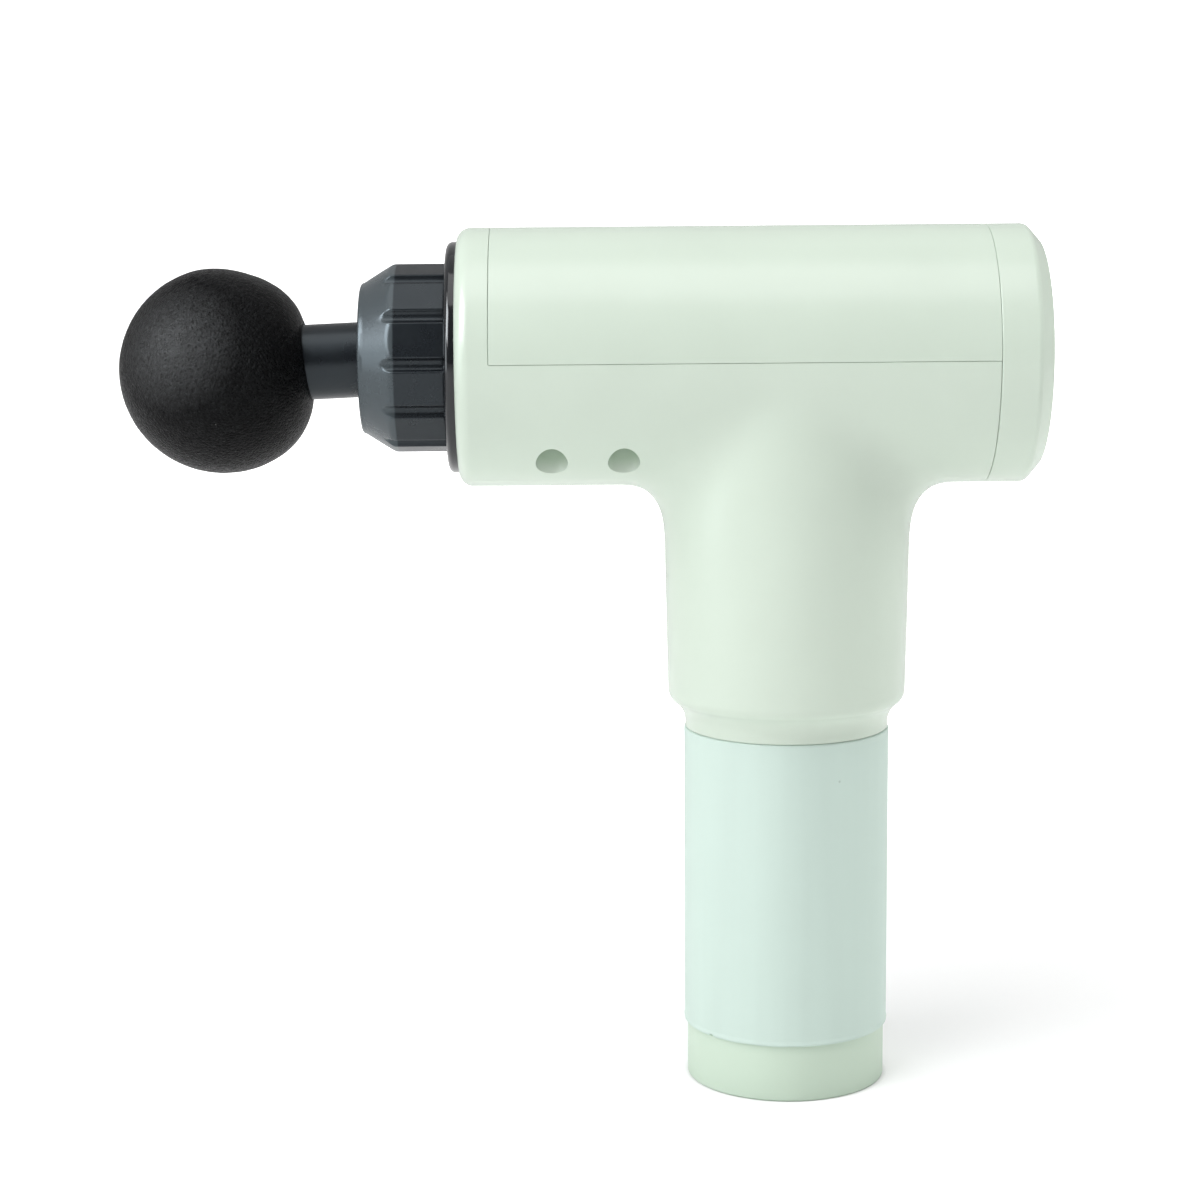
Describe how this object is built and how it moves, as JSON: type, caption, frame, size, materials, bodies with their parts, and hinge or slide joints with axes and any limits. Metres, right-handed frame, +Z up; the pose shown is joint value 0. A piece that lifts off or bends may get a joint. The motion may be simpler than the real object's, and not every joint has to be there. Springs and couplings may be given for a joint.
{
  "type": "massage gun",
  "caption": "Cordless T-shaped massage gun with a foam ball head on a reciprocating stem, a fluted nose collar, a barrel body and a round battery handle that it stands on.",
  "frame": {"origin": "centre of the flat base of the battery handle", "axes": "+Z up the handle, head towards -X, rear panel towards +X"},
  "size_m": [0.2223, 0.0622, 0.2118],
  "materials": {
    "mint_gloss_plastic": "semi-gloss moulded ABS, pale mint",
    "mint_base_plastic": "satin moulded ABS, mint",
    "mint_silicone": "matt soft-touch silicone, bluish mint",
    "charcoal_plastic": "satin charcoal nylon",
    "black_gloss_plastic": "glossy black",
    "black_foam": "matt closed-cell foam with a fine pebbled skin",
    "black_rubber": "matt nitrile",
    "white_plastic": "natural acetal",
    "black_plastic": "moulded glass-filled nylon",
    "light_guide": "translucent diffuser",
    "steel": "machined",
    "magnet": "nickel-plated sintered magnet",
    "cast_aluminium": "die cast and turned",
    "copper": "enamelled copper wire",
    "gilt_contacts": "gilt",
    "circuit_board": "solder-masked laminate",
    "battery_cell": "shrink-sleeved cell",
    "wire_insulation": "PVC sleeve"
  },
  "bodies": {
    "housing": {"body_shell": "mint_gloss_plastic", "upper_cover": "mint_gloss_plastic", "rear_cap": "mint_gloss_plastic", "flange_ring": "black_gloss_plastic", "nose_collar": "charcoal_plastic", "guide_bush": "white_plastic", "wiper_seal": "black_rubber", "motor_bracket": "cast_aluminium", "motor_bearing_lower": "steel", "motor_bearing_upper": "steel", "stator_core": "steel", "stator_windings": "copper", "bracket_screw_1": "steel", "bracket_screw_2": "steel", "bracket_screw_3": "steel", "cover_screw_1": "steel", "cover_screw_2": "steel", "cover_screw_3": "steel", "cover_screw_4": "steel", "contact_carrier": "black_plastic", "contact_pin_plus": "gilt_contacts", "contact_pin_minus": "gilt_contacts", "driver_board": "circuit_board", "motor_cable": "wire_insulation", "panel_cable": "wire_insulation", "control_panel": "black_gloss_plastic", "light_ring": "light_guide", "display_board": "circuit_board", "tact_switch": "black_plastic"},
    "piston": {"piston_tube": "cast_aluminium", "drive_yoke": "steel", "yoke_pin": "steel"},
    "head": {"foam_ball": "black_foam", "head_stem": "charcoal_plastic", "stem_seal_front": "black_rubber", "stem_seal_rear": "black_rubber"},
    "rotor": {"rotor_bell": "steel", "rotor_magnets": "magnet", "motor_shaft": "steel", "crank_wheel": "steel", "crank_pin": "steel", "crank_bearing": "steel"},
    "button": {"speed_button": "black_gloss_plastic"},
    "battery": {"battery_tube": "white_plastic", "grip_sleeve": "mint_silicone", "pack_lid": "black_plastic", "contact_pad_plus": "gilt_contacts", "contact_pad_minus": "gilt_contacts", "cell_holder_lower": "black_plastic", "cell_holder_upper": "black_plastic", "cell_1": "battery_cell", "cell_2": "battery_cell", "cell_3": "battery_cell", "pack_board": "circuit_board", "bottom_cap": "mint_base_plastic", "switch_body": "black_plastic", "charge_socket": "black_plastic"},
    "rocker": {"switch_rocker": "charcoal_plastic"}
  },
  "joints": [
    {"name": "motor_spin", "type": "hinge", "parent": "housing", "child": "rotor", "pos_m": [0, 0, 0.145], "axis": [0, 0, 1], "range_deg": [-90, 90]},
    {"name": "head_stroke", "type": "slide", "parent": "housing", "child": "piston", "axis": [-1, 0, 0], "range_m": [-0.005, 0.005]},
    {"name": "head_release", "type": "slide", "parent": "piston", "child": "head", "axis": [-1, 0, 0], "range_m": [0, 0.045]},
    {"name": "speed_press", "type": "slide", "parent": "housing", "child": "button", "axis": [-1, 0, 0], "range_m": [0, 0.0006]},
    {"name": "battery_pull", "type": "slide", "parent": "housing", "child": "battery", "axis": [0, 0, -1], "range_m": [0, 0.04]},
    {"name": "power_switch", "type": "hinge", "parent": "battery", "child": "rocker", "pos_m": [0, 0.0105, 0.0055], "axis": [0, 1, 0], "range_deg": [0, 16]}
  ],
  "couplings": [
    {"joint": "head_stroke", "follows": "motor_spin", "m_per_rad": 0.0031831}
  ]
}
